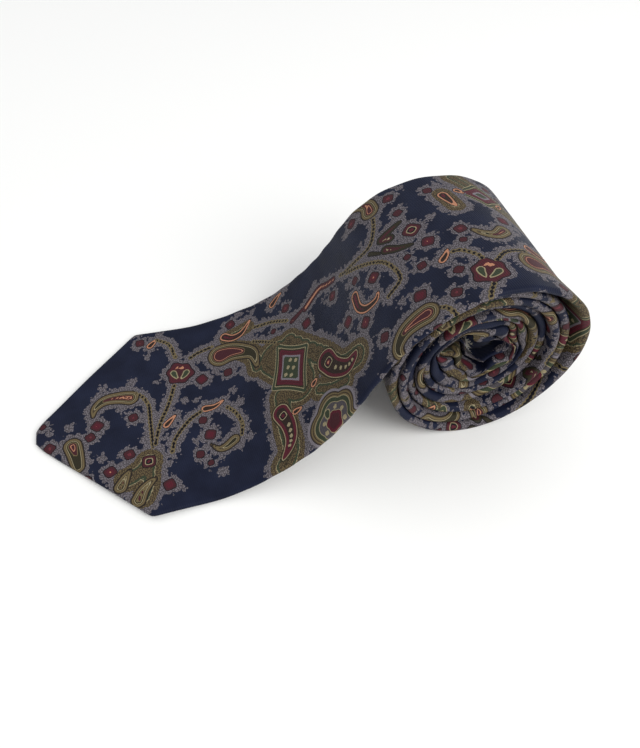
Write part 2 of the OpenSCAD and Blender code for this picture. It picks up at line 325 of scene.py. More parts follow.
def ornaments():
    """The large ornaments: each a hollow-sided square with curled commas on a gold ground."""
    first = [spot(DOTTED, 46, -22, 2.7, -0.1),
             tapered(OLIVE, [(35, -31), (37, -27), (39, -24)], 2.5, 0.5),
             tapered(OLIVE, [(41, -38), (43, -34), (46, -31), (48, -30)], 2.7, 0.5)]
    second = [spot(MEDAL, 110, -2, 7.3, -0.61),
              tapered(RED, [(127, -11), (130, -17), (136, -22), (141, -22), (143, -21)], 4.5, 0.5),
              tapered(RED, [(101, -19), (103, -25), (103, -31), (101, -35), (98, -38)], 3.5, 0.6),
              tapered(PEACH, [(118, -16), (120, -15)], 1.3, 0.5),
              tapered(PEACH, [(107, -22), (110, -22)], 1.3, 0.5)]
    third = [spot(MEDAL, 212, 20, 4.6, 0.5),
             tapered(PEACH, [(203, 23), (205, 21)], 1.3, 0.4),
             tapered(PEACH, [(217, 14), (219, 16)], 1.3, 0.4)]
    return [first, second, third, [spot(LOBED, 123, -37, 12.6, 0.4)]]


def figures_in(m):
    """The small figures drawn inside a motif."""
    kind, line, r = m["kind"], m["line"], m["radii"]

    def at(x, y):
        """A place in the motif, in shares of its radius, turned with it."""
        c, sn = np.cos(m["turn"]), np.sin(m["turn"])
        return line[0] + r[0] * np.array([x * c - y * sn, x * sn + y * c])
    if kind == OLIVE and r[0] > 2.4:
        core = line[:len(line) // 2 + 1]
        fading = np.linspace(1, 0.25, len(core)) ** 0.7
        return [{"kind": CORE, "line": core, "radii": (r[0] - 2.1) * fading}]
    if kind == DOTTED and r[0] > 2.6:
        return [spot(GEM, *line[0], 0.5 * r[0], m["turn"])]
    if kind == RED:
        beads = [spot(BEAD, *line[i], 0.6 - 0.012 * i) for i in range(8, 21, 3)]
        return [spot(GEM, *line[2], 0.42 * r[0], 0.4)] + beads
    if kind == MEDAL and r[0] > 6:
        return [spot(BEAD, *at(x, y), 0.5) for x in (-0.2, 0.2) for y in (-0.44, 0, 0.44)]
    if kind == ROSE:
        petals = [tapered(DROP, [at(0.5 * k, 0.05), at(0.36 * k, -0.25), at(0.12 * k, -0.55)],
                          0.2 * r[0], 0.2) for k in (-1, 1)]
        crest = stem(*[at(x, y) for x, y in (
            (-0.34, 0.36), (-0.17, 0.6), (0, 0.4), (0.17, 0.6), (0.34, 0.36))])
        return petals + [{**crest, "kind": CREST, "radii": np.full(len(crest["line"]), 0.28)}]
    if kind == LOBED:
        ring = [spot(BEAD, *at(0.42 * math.cos(v), 0.42 * math.sin(v)), 0.55)
                for v in np.arange(8) * math.pi / 4]
        return ring + [tapered(DROP, [at(-0.02, 0.46), at(-0.1, 0.3)], 1.3, 0.4)]
    return []


# Lines with a radius that the olive-gold ground follows.
GOLD = [([(46, -22), (44, -25), (38, -28)], 5.4), ([(46, -25), (45, -32), (43, -37)], 4.4),
        ([(104, 7), (110, -2), (112, -11)], 10.4), ([(112, 10), (126, -8), (133, -19), (143, -23)], 6.6),
        ([(103, -12), (102, -24), (102, -36), (98, -41)], 6.0), ([(120, -20), (126, -24), (134, -27)], 4.6),
        ([(80, 22), (88, 21), (94, 15), (95, 8)], 5.0), ([(84, 30), (94, 31)], 3.4),
        ([(211, 20), (219, 12), (226, 6)], 4.4), ([(197, 22), (199, 13)], 3.6), ([(205, 33), (211, 24)], 4.6),
        ([(219, -16), (223, -14)], 3.2)]


def units():
    """What repeats together: single motifs, and each ornament as a whole."""
    return [[m] for m in curls()] + ornaments() + [[m] for m in drops()]


def moved(m, by):
    return {**m, "line": m["line"] + by}


def spread_print(length, half_girth):
    """Every motif of the tie, and the gold ground: the first ones as placed, then the repeat where it
    is clear of them, then a scatter of sprigs, buds and tufts."""
    drawn = units()
    placed = [m for unit in drawn for m in unit]
    gold = [(np.array(line), r) for line, r in GOLD]
    cells = {}

    def clear(m, room=-0.3):
        """Whether no circle of the motif comes within room of one that is placed."""
        return all(np.hypot(*(q - c)) > r + rr + room
                   for c, r in zip(m["line"][::3], m["radii"][::3])
                   for i in (-1, 0, 1) for j in (-1, 0, 1)
                   for q, rr in cells.get((int(c[0] // CELL) + i, int(c[1] // CELL) + j), []))

    def note(m):
        for c, r in zip(m["line"][::2], m["radii"][::2]):
            cells.setdefault((int(c[0] // CELL), int(c[1] // CELL)), []).append((c, r))

    for m in placed:
        note(m)
    for i in range(-2, int(length / 100) + 3):
        for j in range(-5, 6):
            by = i * REPEAT[0] + j * REPEAT[1]
            if (i, j) == (0, 0) or not -150 < by[0] < length + 20 or abs(by[1]) > half_girth + 150:
                continue
            for unit in drawn:
                went = [moved(m, by) for m in unit]
                mid = went[0]["line"].mean(0)
                on_cloth = -20 < mid[0] < length + 20 and abs(mid[1]) < half_girth + 15
                shown = 0 < mid[0] < SHOWN_L and abs(mid[1]) < SHOWN_HALF
                if on_cloth and not shown and all(clear(m) for m in went):
                    placed += went
                    for m in went:
                        note(m)
                    if went[0]["kind"] == MEDAL and len(went) > 1:
                        base = unit[0]["line"][0]
                        gold += [(np.array(g) + by, r) for g, r in GOLD
                                 if np.hypot(*(np.mean(g, 0) - base)) < 34]
    # Loose sprigs fill the bare places that are left between the repeats. Buds and tufts of halo
    # grow beside the motifs, and none on the gold ground.
    rng = np.random.default_rng(5)
    sprigs = [m for m in curls() if m["kind"] in (OLIVE, ROSE, STEM)]
    buds = [spot(BUD, 0, 0, r) for r in (1.3, 1.7, 1.9, 2.1)] + [spot(DOTTED, 0, 0, 2.3)]
    tufts = [spot(LEAF, 0, 0, r) for r in (1.0, 1.4, 1.8)]
    for gap, room, choice in ((15.0, 1.6, sprigs), (8.2, 1.2, buds), (9.0, 0.2, tufts)):
        s, u = np.meshgrid(np.arange(-2, length + 10, gap), np.arange(-half_girth, half_girth, gap))
        at = np.stack([s.ravel(), u.ravel()], 1) + gap * rng.uniform(-0.45, 0.45, (s.size, 2))
        picks, angles = rng.integers(len(choice), size=len(at)), rng.uniform(0, 2 * math.pi, len(at))
        tried = [turned(choice[k], angle, a) for k, angle, a in zip(picks, angles, at)]
        shown = (at[:, 0] < SHOWN_L + 2) & (np.abs(at[:, 1]) < SHOWN_HALF + 3)
        if choice is sprigs:
            wanted = ~shown
        else:
            wanted = np.array([not clear(m, 4.0) for m in tried])
        for m, here in zip(tried, wanted & (gold_depth(gold, at) > 1.5)):
            if here and clear(m, room):
                placed.append(m)
                note(m)
    return placed, gold


def turned(m, angle, at):
    """A copy of a motif, turned and set down with its middle at a place."""
    c, sn = math.cos(angle), math.sin(angle)
    line = (m["line"] - m["line"].mean(0)) @ np.array([[c, sn], [-sn, c]]) + at
    return {**m, "line": line, "turn": m.get("turn", 0.0) + angle}


def chosen(placed, p):
    """For each point the motif that it belongs to, or -1, and its distance from the halo's edge."""
    best, who, halo = np.full(len(p), FAR), np.full(len(p), -1), np.full(len(p), FAR)
    low_s, high_s = p[:, 0].min() - 30, p[:, 0].max() + 30
    for k, m in enumerate(placed):
        if not low_s < m["line"][0, 0] < high_s:
            continue
        wide = m["radii"].max() * 1.3 + REACH
        i = np.flatnonzero(((p > m["line"].min(0) - wide) & (p < m["line"].max(0) + wide)).all(1))
        if not len(i):
            continue
        d, _ = measure(m, p[i])
        halo[i] = np.minimum(halo[i], d - HALO_OUT.get(m["kind"], 0))
        if m["kind"] != LEAF:
            win = d < best[i]
            best[i] = np.where(win, d, best[i])
            who[i] = np.where(win, k, who[i])
    return who, halo


def gold_depth(gold, p):
    """Distance of points from the gold ground's edge, negative inside."""
    best = np.full(len(p), FAR)
    for line, r in gold:
        i = np.flatnonzero(((p > line.min(0) - r - FAR) & (p < line.max(0) + r + FAR)).all(1))
        if len(i):
            fine = smooth_line(line, 16)
            gap = np.hypot(*(p[i][:, None] - fine).transpose(2, 0, 1)).min(1)
            best[i] = np.minimum(best[i], gap - r)
    return best


# ---- meshes ----
def mesh_object(name, points, faces, material):
    """A mesh from points in millimetres, with its place in its mesh, smooth shaded."""
    mesh = bpy.data.meshes.new(name)
    mesh.from_pydata((np.asarray(points) * MM).tolist(), [], np.asarray(faces).tolist())
    mesh.materials.append(material)
    mesh.polygons.foreach_set("use_smooth", np.ones(len(mesh.polygons), bool))
    piece = bpy.data.objects.new(name, mesh)
    bpy.context.scene.collection.objects.link(piece)
    return piece


def store(mesh, label, domain, values):
    """Keeps a vector at each point or face corner, for the shaders and nodes to read."""
    kept = mesh.attributes.new(label, "FLOAT_VECTOR", domain)
    kept.data.foreach_set("vector", values.astype(np.float32).ravel())


def grid_faces(rows, cols):
    i = (np.arange(rows - 1)[:, None] * cols + np.arange(cols - 1)).ravel()
    return np.stack([i, i + cols, i + cols + 1, i + 1], 1)


def cloth(name, outer, inner, flat, material):
    """A thin closed sheet from its two walls, each a grid of points. flat gives every grid point's
    place on the cut cloth in millimetres, which the patterns follow."""
    rows, cols = outer.shape[:2]
    count = rows * cols
    front = grid_faces(rows, cols)
    ring = np.r_[np.arange(cols), np.arange(1, rows) * cols + cols - 1,
                 (rows - 1) * cols + np.arange(cols - 2, -1, -1), np.arange(rows - 2, 0, -1) * cols]
    after = np.roll(ring, -1)
    rim = np.stack([ring, after, after + count, ring + count], 1)
    faces = np.vstack([front, front[:, ::-1] + count, rim])
    points = np.concatenate([outer.reshape(-1, 3), inner.reshape(-1, 3)])
    a, b, c = (points[front[:, k]] for k in (0, 1, 3))
    outward = (np.cross(b - a, c - a) * (outer - inner).reshape(-1, 3)[front[:, 0]]).sum()
    if outward < 0:
        faces = faces[:, ::-1]
    piece = mesh_object(name, points, faces, material)
    mesh = piece.data
    corner = np.zeros(len(mesh.loops), np.int32)
    mesh.loops.foreach_get("vertex_index", corner)
    where = np.tile(flat.reshape(-1, 2), (2, 1))[corner]
    mesh.uv_layers.new(name="cut_cloth").data.foreach_set("uv", where.astype(np.float32).ravel())
    return piece


def silk_columns(widest):
    """How many faces the folded section has in each flap, each fold and the front."""
    wide = max(8, int(widest / GRID))
    return {"flap": wide // 3, "fold": 8, "front": wide + wide // 10}


def folded_section(s, inset, cols):
    """Points (y, n) round the folded silk at each station, from one flap's edge to the other's, and
    the length u round the section from the middle of the front. h is the half width, f the width of
    a fold and t the half thickness, each less the inset."""
    s = s[:, None]
    tip = np.sqrt(1 - (1 - np.clip((s - BLUNT) / 1.3, 0.02, 1)) ** 2)
    t = HALF_T * tip - inset * np.minimum(tip, 1)
    h = half_w(s) - inset
    f = np.minimum(FOLD_IN, h / 2) - inset / 2
    opening = np.interp(s, *LINING_AT)
    shut = np.minimum(OVERLAP, h / 2) * np.exp(-opening / 1.5)
    round_l = math.pi / 2 * (f + t)
    a = np.linspace(0, math.pi, cols["fold"] + 1)[None, :]
    flap = 1 - (1 - np.linspace(0, 1, cols["flap"], endpoint=False)[None, :]) ** 1.25
    across = np.linspace(-1, 1, cols["front"] + 1)[None, 1:-1]

    def side(k):
        """From the flap's edge to the front, on the side k."""
        edge = opening - shut
        y = edge + (h - f - edge) * flap
        under = 0.42 * ease((5 - y) / 4) * (k < 0)      # this flap passes under the other
        n = -t + under * tip
        yf, nf = h - f + f * np.sin(a), -t * np.cos(a)
        uf = h - f + round_l * (1 - a / math.pi)
        ub = h - f + round_l + (h - f - y)
        return (np.concatenate([k * y, k * yf], 1), np.concatenate([n + 0 * y, nf], 1),
                np.concatenate([k * ub, k * uf], 1))

    mid = (h - f) * across
    front = (mid, t + 0 * mid, mid)
    return [np.concatenate([near, middle, far[:, ::-1]], 1)
            for near, middle, far in zip(side(-1), front, side(1))]


# Where the back is left open for the tipping: s, and half the opening's width.
blade_lining = [(16, 0.0), (47, 32.0), (112, 0.0)]
tail_lining = [(end_s - 50, 0.0), (end_s - 22, 13.0), (end_s - 9, 0.0)]
LINING_AT = tuple(zip(*(blade_lining + tail_lining)))


def silk_panel(name, start, stop, grid, material):
    """A stretch of the folded silk, with its print."""
    s = np.linspace(start, stop, int((stop - start) / grid) + 1)
    if start == BLUNT:      # closer stations round the tip, and one at the side corners
        s = np.sort(np.r_[s[2:], BLUNT + np.array([0, 0.15, 0.4, 0.8, 1.3]), blade_w / 2])
    cols = silk_columns(half_w(s).max() * 2 * GRID / grid)
    walls = []
    for inset in (0, SILK_T):
        y, n, u = folded_section(s, inset, cols)
        walls.append(lay(s[:, None], y, n))
        if inset == 0:
            flat = np.stack([s[:, None] + 0 * u, u], -1)
    piece = cloth(name, walls[0], walls[1], flat, material)
    print_on(piece, flat)
    area = float((np.abs(np.diff(flat[..., 1], axis=1)).sum(1) * np.gradient(s)).sum()) * MM * MM
    width = float(np.ptp(flat[..., 1])) * MM
    length = (stop - start) * MM
    return piece, (width, length), min(area, width * length)


NOTHING = (FAR, 0.0, -1.0)  # distance, length along and kind where there is no motif


def print_on(piece, flat):
    """Gives the silk the distances that its print is drawn from: to the nearest motif's outline and
    along it, kept at each face corner, and into the grey halo and the gold ground."""
    rows, cols = flat.shape[:2]
    grid_points = flat.reshape(-1, 2)
    front = grid_faces(rows, cols)
    _, halo = chosen(PRINT, grid_points)
    gold = gold_depth(GROUND, grid_points)
    halo = np.minimum(halo, gold - GOLD_HALO)
    mesh = piece.data
    store(mesh, "ground", "POINT", np.tile(np.stack([halo, gold, 0 * gold], 1), (2, 1)))
    vertex = np.zeros(len(mesh.loops), np.int64)
    mesh.loops.foreach_get("vertex_index", vertex)
    faces = vertex[:len(front) * 8].reshape(2, len(front), 4) % (rows * cols)
    for label, drawn in (("motif", PRINT), ("figure", FIGURES)):
        who, _ = chosen(drawn, grid_points[front].mean(1))
        spot_at = np.full((len(front), 4, 3), NOTHING)
        for k in np.unique(who[who >= 0]):
            mine = np.flatnonzero(who == k)
            d, a = measure(drawn[k], grid_points[front[mine]].reshape(-1, 2))
            spot_at[mine] = np.stack([d, a, np.full(len(d), drawn[k]["kind"])], 1).reshape(-1, 4, 3)
        value = np.full((len(vertex), 3), NOTHING)
        for wall in (0, 1):
            same = (faces[wall][:, :, None] == front[:, None, :]).argmax(2)
            value[wall * len(front) * 4:(wall + 1) * len(front) * 4] = np.take_along_axis(
                spot_at, same[:, :, None], 1).reshape(-1, 3)
        store(mesh, label, "CORNER", value)


def strip(name, start, stop, grid, span, n_out, n_in, material, cols=24):
    """A thin layer between two depths. span gives the half width at s, or (from, to)."""
    s = np.linspace(start, stop, max(4, int((stop - start) / grid) + 1))
    low, high = span(s)
    y = low[:, None] + (high - low)[:, None] * np.linspace(0, 1, cols)[None, :]
    edge = 1 - np.abs(np.linspace(-1, 1, cols)[None, :]) ** 10
    outer = lay(s[:, None], y, (n_out + n_in) / 2 + (n_out - n_in) / 2 * edge)
    inner = lay(s[:, None], y, (n_out + n_in) / 2 - (n_out - n_in) / 2 * edge)
    flat = np.stack([s[:, None] + 0 * y, y], -1)
    piece = cloth(name, outer, inner, flat, material)
    area = float(((high - low) * np.gradient(s)).sum()) * MM * MM
    width = float((high - low).max()) * MM
    return piece, (width, (stop - start) * MM), min(area, width * (stop - start) * MM)


# ---- finishes ----
def hex_colour(text):
    """sRGB hex to the linear colour that shaders use."""
    c = [int(text[i:i + 2], 16) / 255 for i in (1, 3, 5)]
    return tuple(v / 12.92 if v <= 0.04045 else ((v + 0.055) / 1.055) ** 2.4 for v in c) + (1.0,)


def add(tree, kind, links=None, **settings):
    """Adds a node: its settings by name, and its inputs by name or number, each a link or a value."""
    node = tree.nodes.new(kind)
    for key, value in settings.items():
        setattr(node, key, value)
    for key, value in (links or {}).items():
        if isinstance(value, bpy.types.NodeSocket):
            tree.links.new(value, node.inputs[key])
        else:
            node.inputs[key].default_value = value
    return node


def finish_of(name, roughness, **shader):
    """A material with its shader, and the tree to draw on."""
    material = bpy.data.materials.new(name)
    material.use_nodes = True
    tree = material.node_tree
    surface = tree.nodes["Principled BSDF"]
    surface.inputs["Roughness"].default_value = roughness
    for key, value in shader.items():
        surface.inputs[key.replace("_", " ")].default_value = value
    return material, tree, surface


def maths(tree, operation, a, b=0.0, c=0.0, clamp=False):
    return add(tree, "ShaderNodeMath", {0: a, 1: b, 2: c}, operation=operation, use_clamp=clamp).outputs[0]


def noise(tree, where, scale, detail):
    return add(tree, "ShaderNodeTexNoise", {"Vector": where, "Scale": scale, "Detail": detail},
               noise_dimensions="2D").outputs["Fac"]


def paint(tree, surface, colour, height, depth_mm, strength):
    """Gives the shader its colour, and a bump as deep as depth_mm."""
    tree.links.new(colour, surface.inputs["Base Color"])
    bump = add(tree, "ShaderNodeBump", {"Height": height, "Distance": depth_mm * MM, "Strength": strength})
    tree.links.new(bump.outputs[0], surface.inputs["Normal"])


def over(tree, under, top, mask):
    """top laid over under where mask is 1."""
    return add(tree, "ShaderNodeMix", {"Factor": mask, 6: under, 7: top}, data_type="RGBA").outputs[2]


def steps(tree, factor, low, high, bands, smooth=False):
    """A ramp of flat bands. Each band starts at a value between low and high, and None is clear."""
    part = add(tree, "ShaderNodeMapRange", {0: factor, 1: low, 2: high}).outputs[0]
    node = add(tree, "ShaderNodeValToRGB", {0: part})
    ramp = node.color_ramp
    ramp.interpolation = "LINEAR" if smooth else "CONSTANT"
    while len(ramp.elements) > 1:
        ramp.elements.remove(ramp.elements[0])
    for i, (start, colour) in enumerate(bands):
        at = (start - low) / (high - low)
        stop = ramp.elements[0] if i == 0 else ramp.elements.new(at)
        stop.position = at
        stop.color = hex_colour(colour) if colour else (0, 0, 0, 0)
    return node


NAVY, NAVY_SHADE, HALO, HALO_SPECK = "#121627", "#191e31", "#474346", "#716b70"
GOLD_GROUND, GOLD_SPECK, OLIVE_DARK, OUTLINE = "#3c3226", "#65583d", "#2c281c", "#100e14"
BURGUNDY, CRIMSON, PEACH_LINE, CREAM_LINE = "#401f24", "#4e1c26", "#a9775c", "#8b8064"
GREEN_LINE, BROWN_FILL, BEADED = "#333a2b", "#2b201c", "#655940"

# Colours of each motif by depth inside its outline, between the depths OUTSIDE and DEEPEST.
OUTSIDE, DEEPEST = -2.5, 10.0
DEPTHS = {
    BUD: [(-0.3, OUTLINE), (0, BURGUNDY), (1.2, "#5f2a31")],
    DOTTED: [(-0.3, OUTLINE), (0, BURGUNDY), (0.8, CRIMSON), (1.7, PEACH_LINE)],
    OLIVE: [(-0.3, OUTLINE), (0, GOLD_GROUND), (0.35, GOLD_SPECK), (0.9, GOLD_GROUND), (1.15, CREAM_LINE),
            (1.4, OLIVE_DARK)],
    PEACH: [(-0.4, OUTLINE), (-0.1, PEACH_LINE), (0.45, BROWN_FILL), (1.2, CRIMSON)],
    STEM: [(-0.15, BEADED), (0.3, OUTLINE)],
    ROSE: [(-0.4, OUTLINE), (0, BURGUNDY), (0.8, CRIMSON), (1.2, BURGUNDY), (1.9, CRIMSON), (2.4, BURGUNDY)],
    MEDAL: [(-2.1, CREAM_LINE), (-1.8, GREEN_LINE), (-0.75, CREAM_LINE), (-0.45, OLIVE_DARK), (0, CRIMSON),
            (0.9, BURGUNDY), (1.2, CRIMSON), (1.7, HALO_SPECK), (2.4, GREEN_LINE)],
    RED: [(-0.9, OLIVE_DARK), (-0.35, CREAM_LINE), (0, CRIMSON), (1.3, BROWN_FILL)],
    LOBED: [(-0.2, HALO_SPECK), (0.9, OUTLINE), (1.1, GOLD_GROUND), (1.6, GOLD_SPECK), (2.1, GOLD_GROUND),
            (2.6, GOLD_SPECK), (3.1, CREAM_LINE), (3.4, GREEN_LINE), (5.0, CREAM_LINE), (5.3, HALO),
            (8.3, CREAM_LINE), (8.6, CRIMSON), (9.7, BURGUNDY)],
    SPINDLE: [(-0.3, OUTLINE), (0, BURGUNDY), (0.95, PEACH_LINE)],
    SEED: [(-0.3, OUTLINE), (0, OLIVE_DARK), (0.8, BURGUNDY), (1.4, CREAM_LINE)],
}
FIGURE_DEPTHS = {
    CORE: [(-0.35, GOLD_SPECK), (-0.05, BURGUNDY), (0.55, PEACH_LINE), (0.8, BURGUNDY)],
    DROP: [(-0.4, CREAM_LINE), (0, GREEN_LINE)],
    CREST: [(-0.2, PEACH_LINE)],
    GEM: [(-0.35, CREAM_LINE), (0, OUTLINE), (0.5, CRIMSON), (1.1, PEACH_LINE)],
    BEAD: [(-0.45, CREAM_LINE)],
}
LOBE, THORN, SPECK = 1.9, 0.9, 0.62     # size of the halo's lobes, its thorns and its specks
TWILL = 0.8                 # rib spacing, drawn coarser than real so that it shows


def printed_silk():
    """Silk twill, screen printed: dark and soft, with fine ribs and only a faint broad sheen."""
    material, tree, surface = finish_of(
        "printed_silk_twill", 0.5, Sheen_Weight=0.012, Sheen_Roughness=0.4, Specular_IOR_Level=0.09)
    surface.inputs["Sheen Tint"].default_value = hex_colour("#b4bac8")
    flat = add(tree, "ShaderNodeUVMap", uv_map="cut_cloth").outputs[0]
    ground, motif, figure = (add(tree, "ShaderNodeSeparateXYZ", {0: add(
        tree, "ShaderNodeAttribute", attribute_name=name).outputs["Vector"]}).outputs
        for name in ("ground", "motif", "figure"))
    cells = {pitch: add(tree, "ShaderNodeTexVoronoi", {"Vector": flat, "Scale": 1 / pitch, "Randomness": 0.9},
                        voronoi_dimensions="2D").outputs["Distance"] for pitch in (LOBE, THORN, SPECK)}
    speck = maths(tree, "LESS_THAN", cells[SPECK], 0.33)

    # The ground, then the grey halo with its lobed and thorny edge, then the olive-gold ground.
    colour = steps(tree, noise(tree, flat, 0.09, 3.0), 0.3, 0.7, [(0.3, NAVY), (0.7, NAVY_SHADE)],
                   smooth=True).outputs[0]
    thorns = maths(tree, "MULTIPLY_ADD", cells[THORN], 0.5, -2.05)
    lobes = maths(tree, "MULTIPLY_ADD", cells[LOBE], 2.5, thorns)
    lobes = maths(tree, "MULTIPLY_ADD", noise(tree, flat, 0.16, 1.0), 1.7, lobes)
    in_halo = maths(tree, "LESS_THAN", maths(tree, "ADD", ground[0], lobes), 0.0)
    grey = over(tree, hex_colour(HALO), hex_colour(HALO_SPECK), speck)
    colour = over(tree, colour, grey, in_halo)
    gold_depths = maths(tree, "MULTIPLY", maths(tree, "MULTIPLY_ADD", cells[THORN], 0.5, ground[1]), -1.0)
    for base, mask in ((GOLD_GROUND, 1.0), (GOLD_SPECK, speck)):
        ramp = steps(tree, gold_depths, OUTSIDE, DEEPEST, [
            (OUTSIDE, None), (-0.3, base), (2.0, CREAM_LINE), (2.25, GREEN_LINE), (3.1, base),
            (5.2, OLIVE_DARK), (5.5, base)])
        colour = over(tree, colour, ramp.outputs[0], maths(tree, "MULTIPLY", ramp.outputs[1], mask))

    # The motifs, each drawn by its depth inside its own outline, then the figures over them. The
    # dark line down the middle of a stem is notched.
    notch = maths(tree, "SINE", maths(tree, "MULTIPLY", motif[1], 3.6))
    for layer, depths in ((motif, DEPTHS), (figure, FIGURE_DEPTHS)):
        depth = maths(tree, "MULTIPLY", layer[0], -1.0)
        for kind, bands in depths.items():
            by = maths(tree, "MULTIPLY_ADD", notch, 0.14, depth) if kind == STEM else depth
            ramp = steps(tree, by, OUTSIDE, DEEPEST, [(OUTSIDE, None)] + bands)
            here = maths(tree, "COMPARE", layer[2], float(kind), 0.5)
            colour = over(tree, colour, ramp.outputs[0], maths(tree, "MULTIPLY", ramp.outputs[1], here))

    # Twill ribs run across the bias-cut cloth.
    along_cloth = add(tree, "ShaderNodeSeparateXYZ", {0: flat}).outputs
    run = maths(tree, "MULTIPLY_ADD", along_cloth[1], 0.18, along_cloth[0])
    rib = maths(tree, "SINE", maths(tree, "MULTIPLY", run, 2 * math.pi / TWILL))
    shade = maths(tree, "MULTIPLY_ADD", rib, 0.07, 0.98)
    tinted = add(tree, "ShaderNodeMix", {"Factor": 1.0, 6: colour, 7: add(
        tree, "ShaderNodeCombineXYZ", {0: shade, 1: shade, 2: shade}).outputs[0]},
        data_type="RGBA", blend_type="MULTIPLY").outputs[2]
    paint(tree, surface, tinted, rib, 0.05, 0.5)
    return material


def woven(name, colours, pitch, roughness, bump_mm, lengthwise=0.5, **shader):
    """Plain cloth: two crossing sets of threads, pitch apart, and a little mottling."""
    material, tree, surface = finish_of(name, roughness, **shader)
    flat = add(tree, "ShaderNodeUVMap", uv_map="cut_cloth").outputs[0]
    s, u = add(tree, "ShaderNodeSeparateXYZ", {0: flat}).outputs[:2]
    warp = maths(tree, "SINE", maths(tree, "MULTIPLY", u, 2 * math.pi / pitch))
    weft = maths(tree, "SINE", maths(tree, "MULTIPLY", s, 2 * math.pi / pitch))
    height = add(tree, "ShaderNodeMix", {0: lengthwise, 2: warp, 3: weft}).outputs[0]
    mixed = maths(tree, "MULTIPLY_ADD", height, 0.16, noise(tree, flat, 0.35, 4.0))
    colour = steps(tree, mixed, 0.3, 0.75, [(0.3, colours[0]), (0.75, colours[1])], smooth=True).outputs[0]
    paint(tree, surface, colour, mixed, bump_mm, 0.6)
    return material


def thread(name, colours, roughness):
    """Twisted sewing thread: slanting plies give it a rope-like catch of light, painted into its colour as
    lighter and darker bands.
    """
    material, tree, surface = finish_of(name, roughness, Sheen_Weight=0.2)
    place = add(tree, "ShaderNodeTexCoord").outputs["Object"]
    ply = add(tree, "ShaderNodeTexWave", {"Vector": place, "Scale": 900.0, "Distortion": 1.5},
              bands_direction="DIAGONAL").outputs["Fac"]
    # Painted highlight and shade: along each ply the colour runs from the dark one to the light one, as light
    # would fall on it.
    colour = steps(tree, ply, 0.0, 1.0, [(0.0, colours[0]), (1.0, colours[1])], smooth=True).outputs[0]
    paint(tree, surface, colour, ply, 0.03, 0.6)
    return material


# ---- stitches, by geometry nodes ----
def stitch_tree():
    """Sets one soft bead of thread on each point, turned along its "run" and standing on its "up"."""
    tree = bpy.data.node_groups.new("thread_stitches", "GeometryNodeTree")
    for label, kind in (("Geometry", "Geometry"), ("Stitch length", "Float"), ("Thread width", "Float"),
                        ("Thread height", "Float"), ("Unevenness", "Float"), ("Seed", "Int"),
                        ("Thread", "Material")):
        tree.interface.new_socket(name=label, in_out="INPUT", socket_type="NodeSocket" + kind)
    tree.interface.new_socket(name="Geometry", in_out="OUTPUT", socket_type="NodeSocketGeometry")
    given = add(tree, "NodeGroupInput").outputs
    axes = [add(tree, "GeometryNodeInputNamedAttribute", {"Name": axis},
                data_type="FLOAT_VECTOR").outputs[0] for axis in ("run", "up")]
    turn = add(tree, "FunctionNodeAxesToRotation", {0: axes[0], 1: axes[1]}, primary_axis="X",
               secondary_axis="Z").outputs[0]
    bead = add(tree, "GeometryNodeMeshUVSphere", {"Segments": 8, "Rings": 6, "Radius": 0.5}).outputs[0]
    size = add(tree, "ShaderNodeCombineXYZ", {
        0: given["Stitch length"], 1: given["Thread width"], 2: given["Thread height"]}).outputs[0]
    least = add(tree, "ShaderNodeMath", {0: 1.0, 1: given["Unevenness"]}, operation="SUBTRACT").outputs[0]
    most = add(tree, "ShaderNodeMath", {0: 1.0, 1: given["Unevenness"]}, operation="ADD").outputs[0]
    varied = add(tree, "FunctionNodeRandomValue", {2: least, 3: most, "Seed": given["Seed"]},
                 data_type="FLOAT").outputs[1]
    scale = add(tree, "ShaderNodeVectorMath", {0: size, 3: varied}, operation="SCALE").outputs[0]
    beads = add(tree, "GeometryNodeInstanceOnPoints", {
        "Points": given["Geometry"], "Instance": bead, "Rotation": turn, "Scale": scale}).outputs[0]
    real = add(tree, "GeometryNodeRealizeInstances", {0: beads}).outputs[0]
    dyed = add(tree, "GeometryNodeSetMaterial", {"Geometry": real, "Material": given["Thread"]}).outputs[0]
    add(tree, "NodeGroupOutput", {0: dyed})
    return tree


def stitches(name, places, size, uneven, material):
    """Stitches of a size (length, width, height) at places (s, y, n, ds, dy): ds and dy give each one's
    direction on the cloth."""
    s, y, n, ds, dy = np.array(places, float).T
    here = lay(s, y, n)
    run = lay(s + ds * 0.5, y + dy * 0.5, n) - here
    up = lay(s, y, n + 0.5) - here
    points = bpy.data.meshes.new(name)
    points.from_pydata((here * MM).tolist(), [], [])
    for label, value in (("run", run), ("up", up)):
        store(points, label, "POINT", value / np.linalg.norm(value, axis=1)[:, None])
    carrier = bpy.data.objects.new(name + "_points", points)
    bpy.context.scene.collection.objects.link(carrier)
    modifier = carrier.modifiers.new("stitches", "NODES")
    modifier.node_group = STITCH_TREE
    length, width, height = (v * MM for v in size)
    wanted = {"Stitch length": length, "Thread width": width, "Thread height": height,
              "Unevenness": uneven, "Seed": 7, "Thread": material}
    for socket in STITCH_TREE.interface.items_tree:
        if socket.in_out == "INPUT" and socket.name in wanted:
            modifier[socket.identifier] = wanted[socket.name]
    evaluated = carrier.evaluated_get(bpy.context.evaluated_depsgraph_get())
    mesh = bpy.data.meshes.new_from_object(evaluated)
    mesh.name = name
    mesh.polygons.foreach_set("use_smooth", np.ones(len(mesh.polygons), bool))
    piece = bpy.data.objects.new(name, mesh)
    bpy.context.scene.collection.objects.link(piece)
    bpy.data.objects.remove(carrier)
    return piece


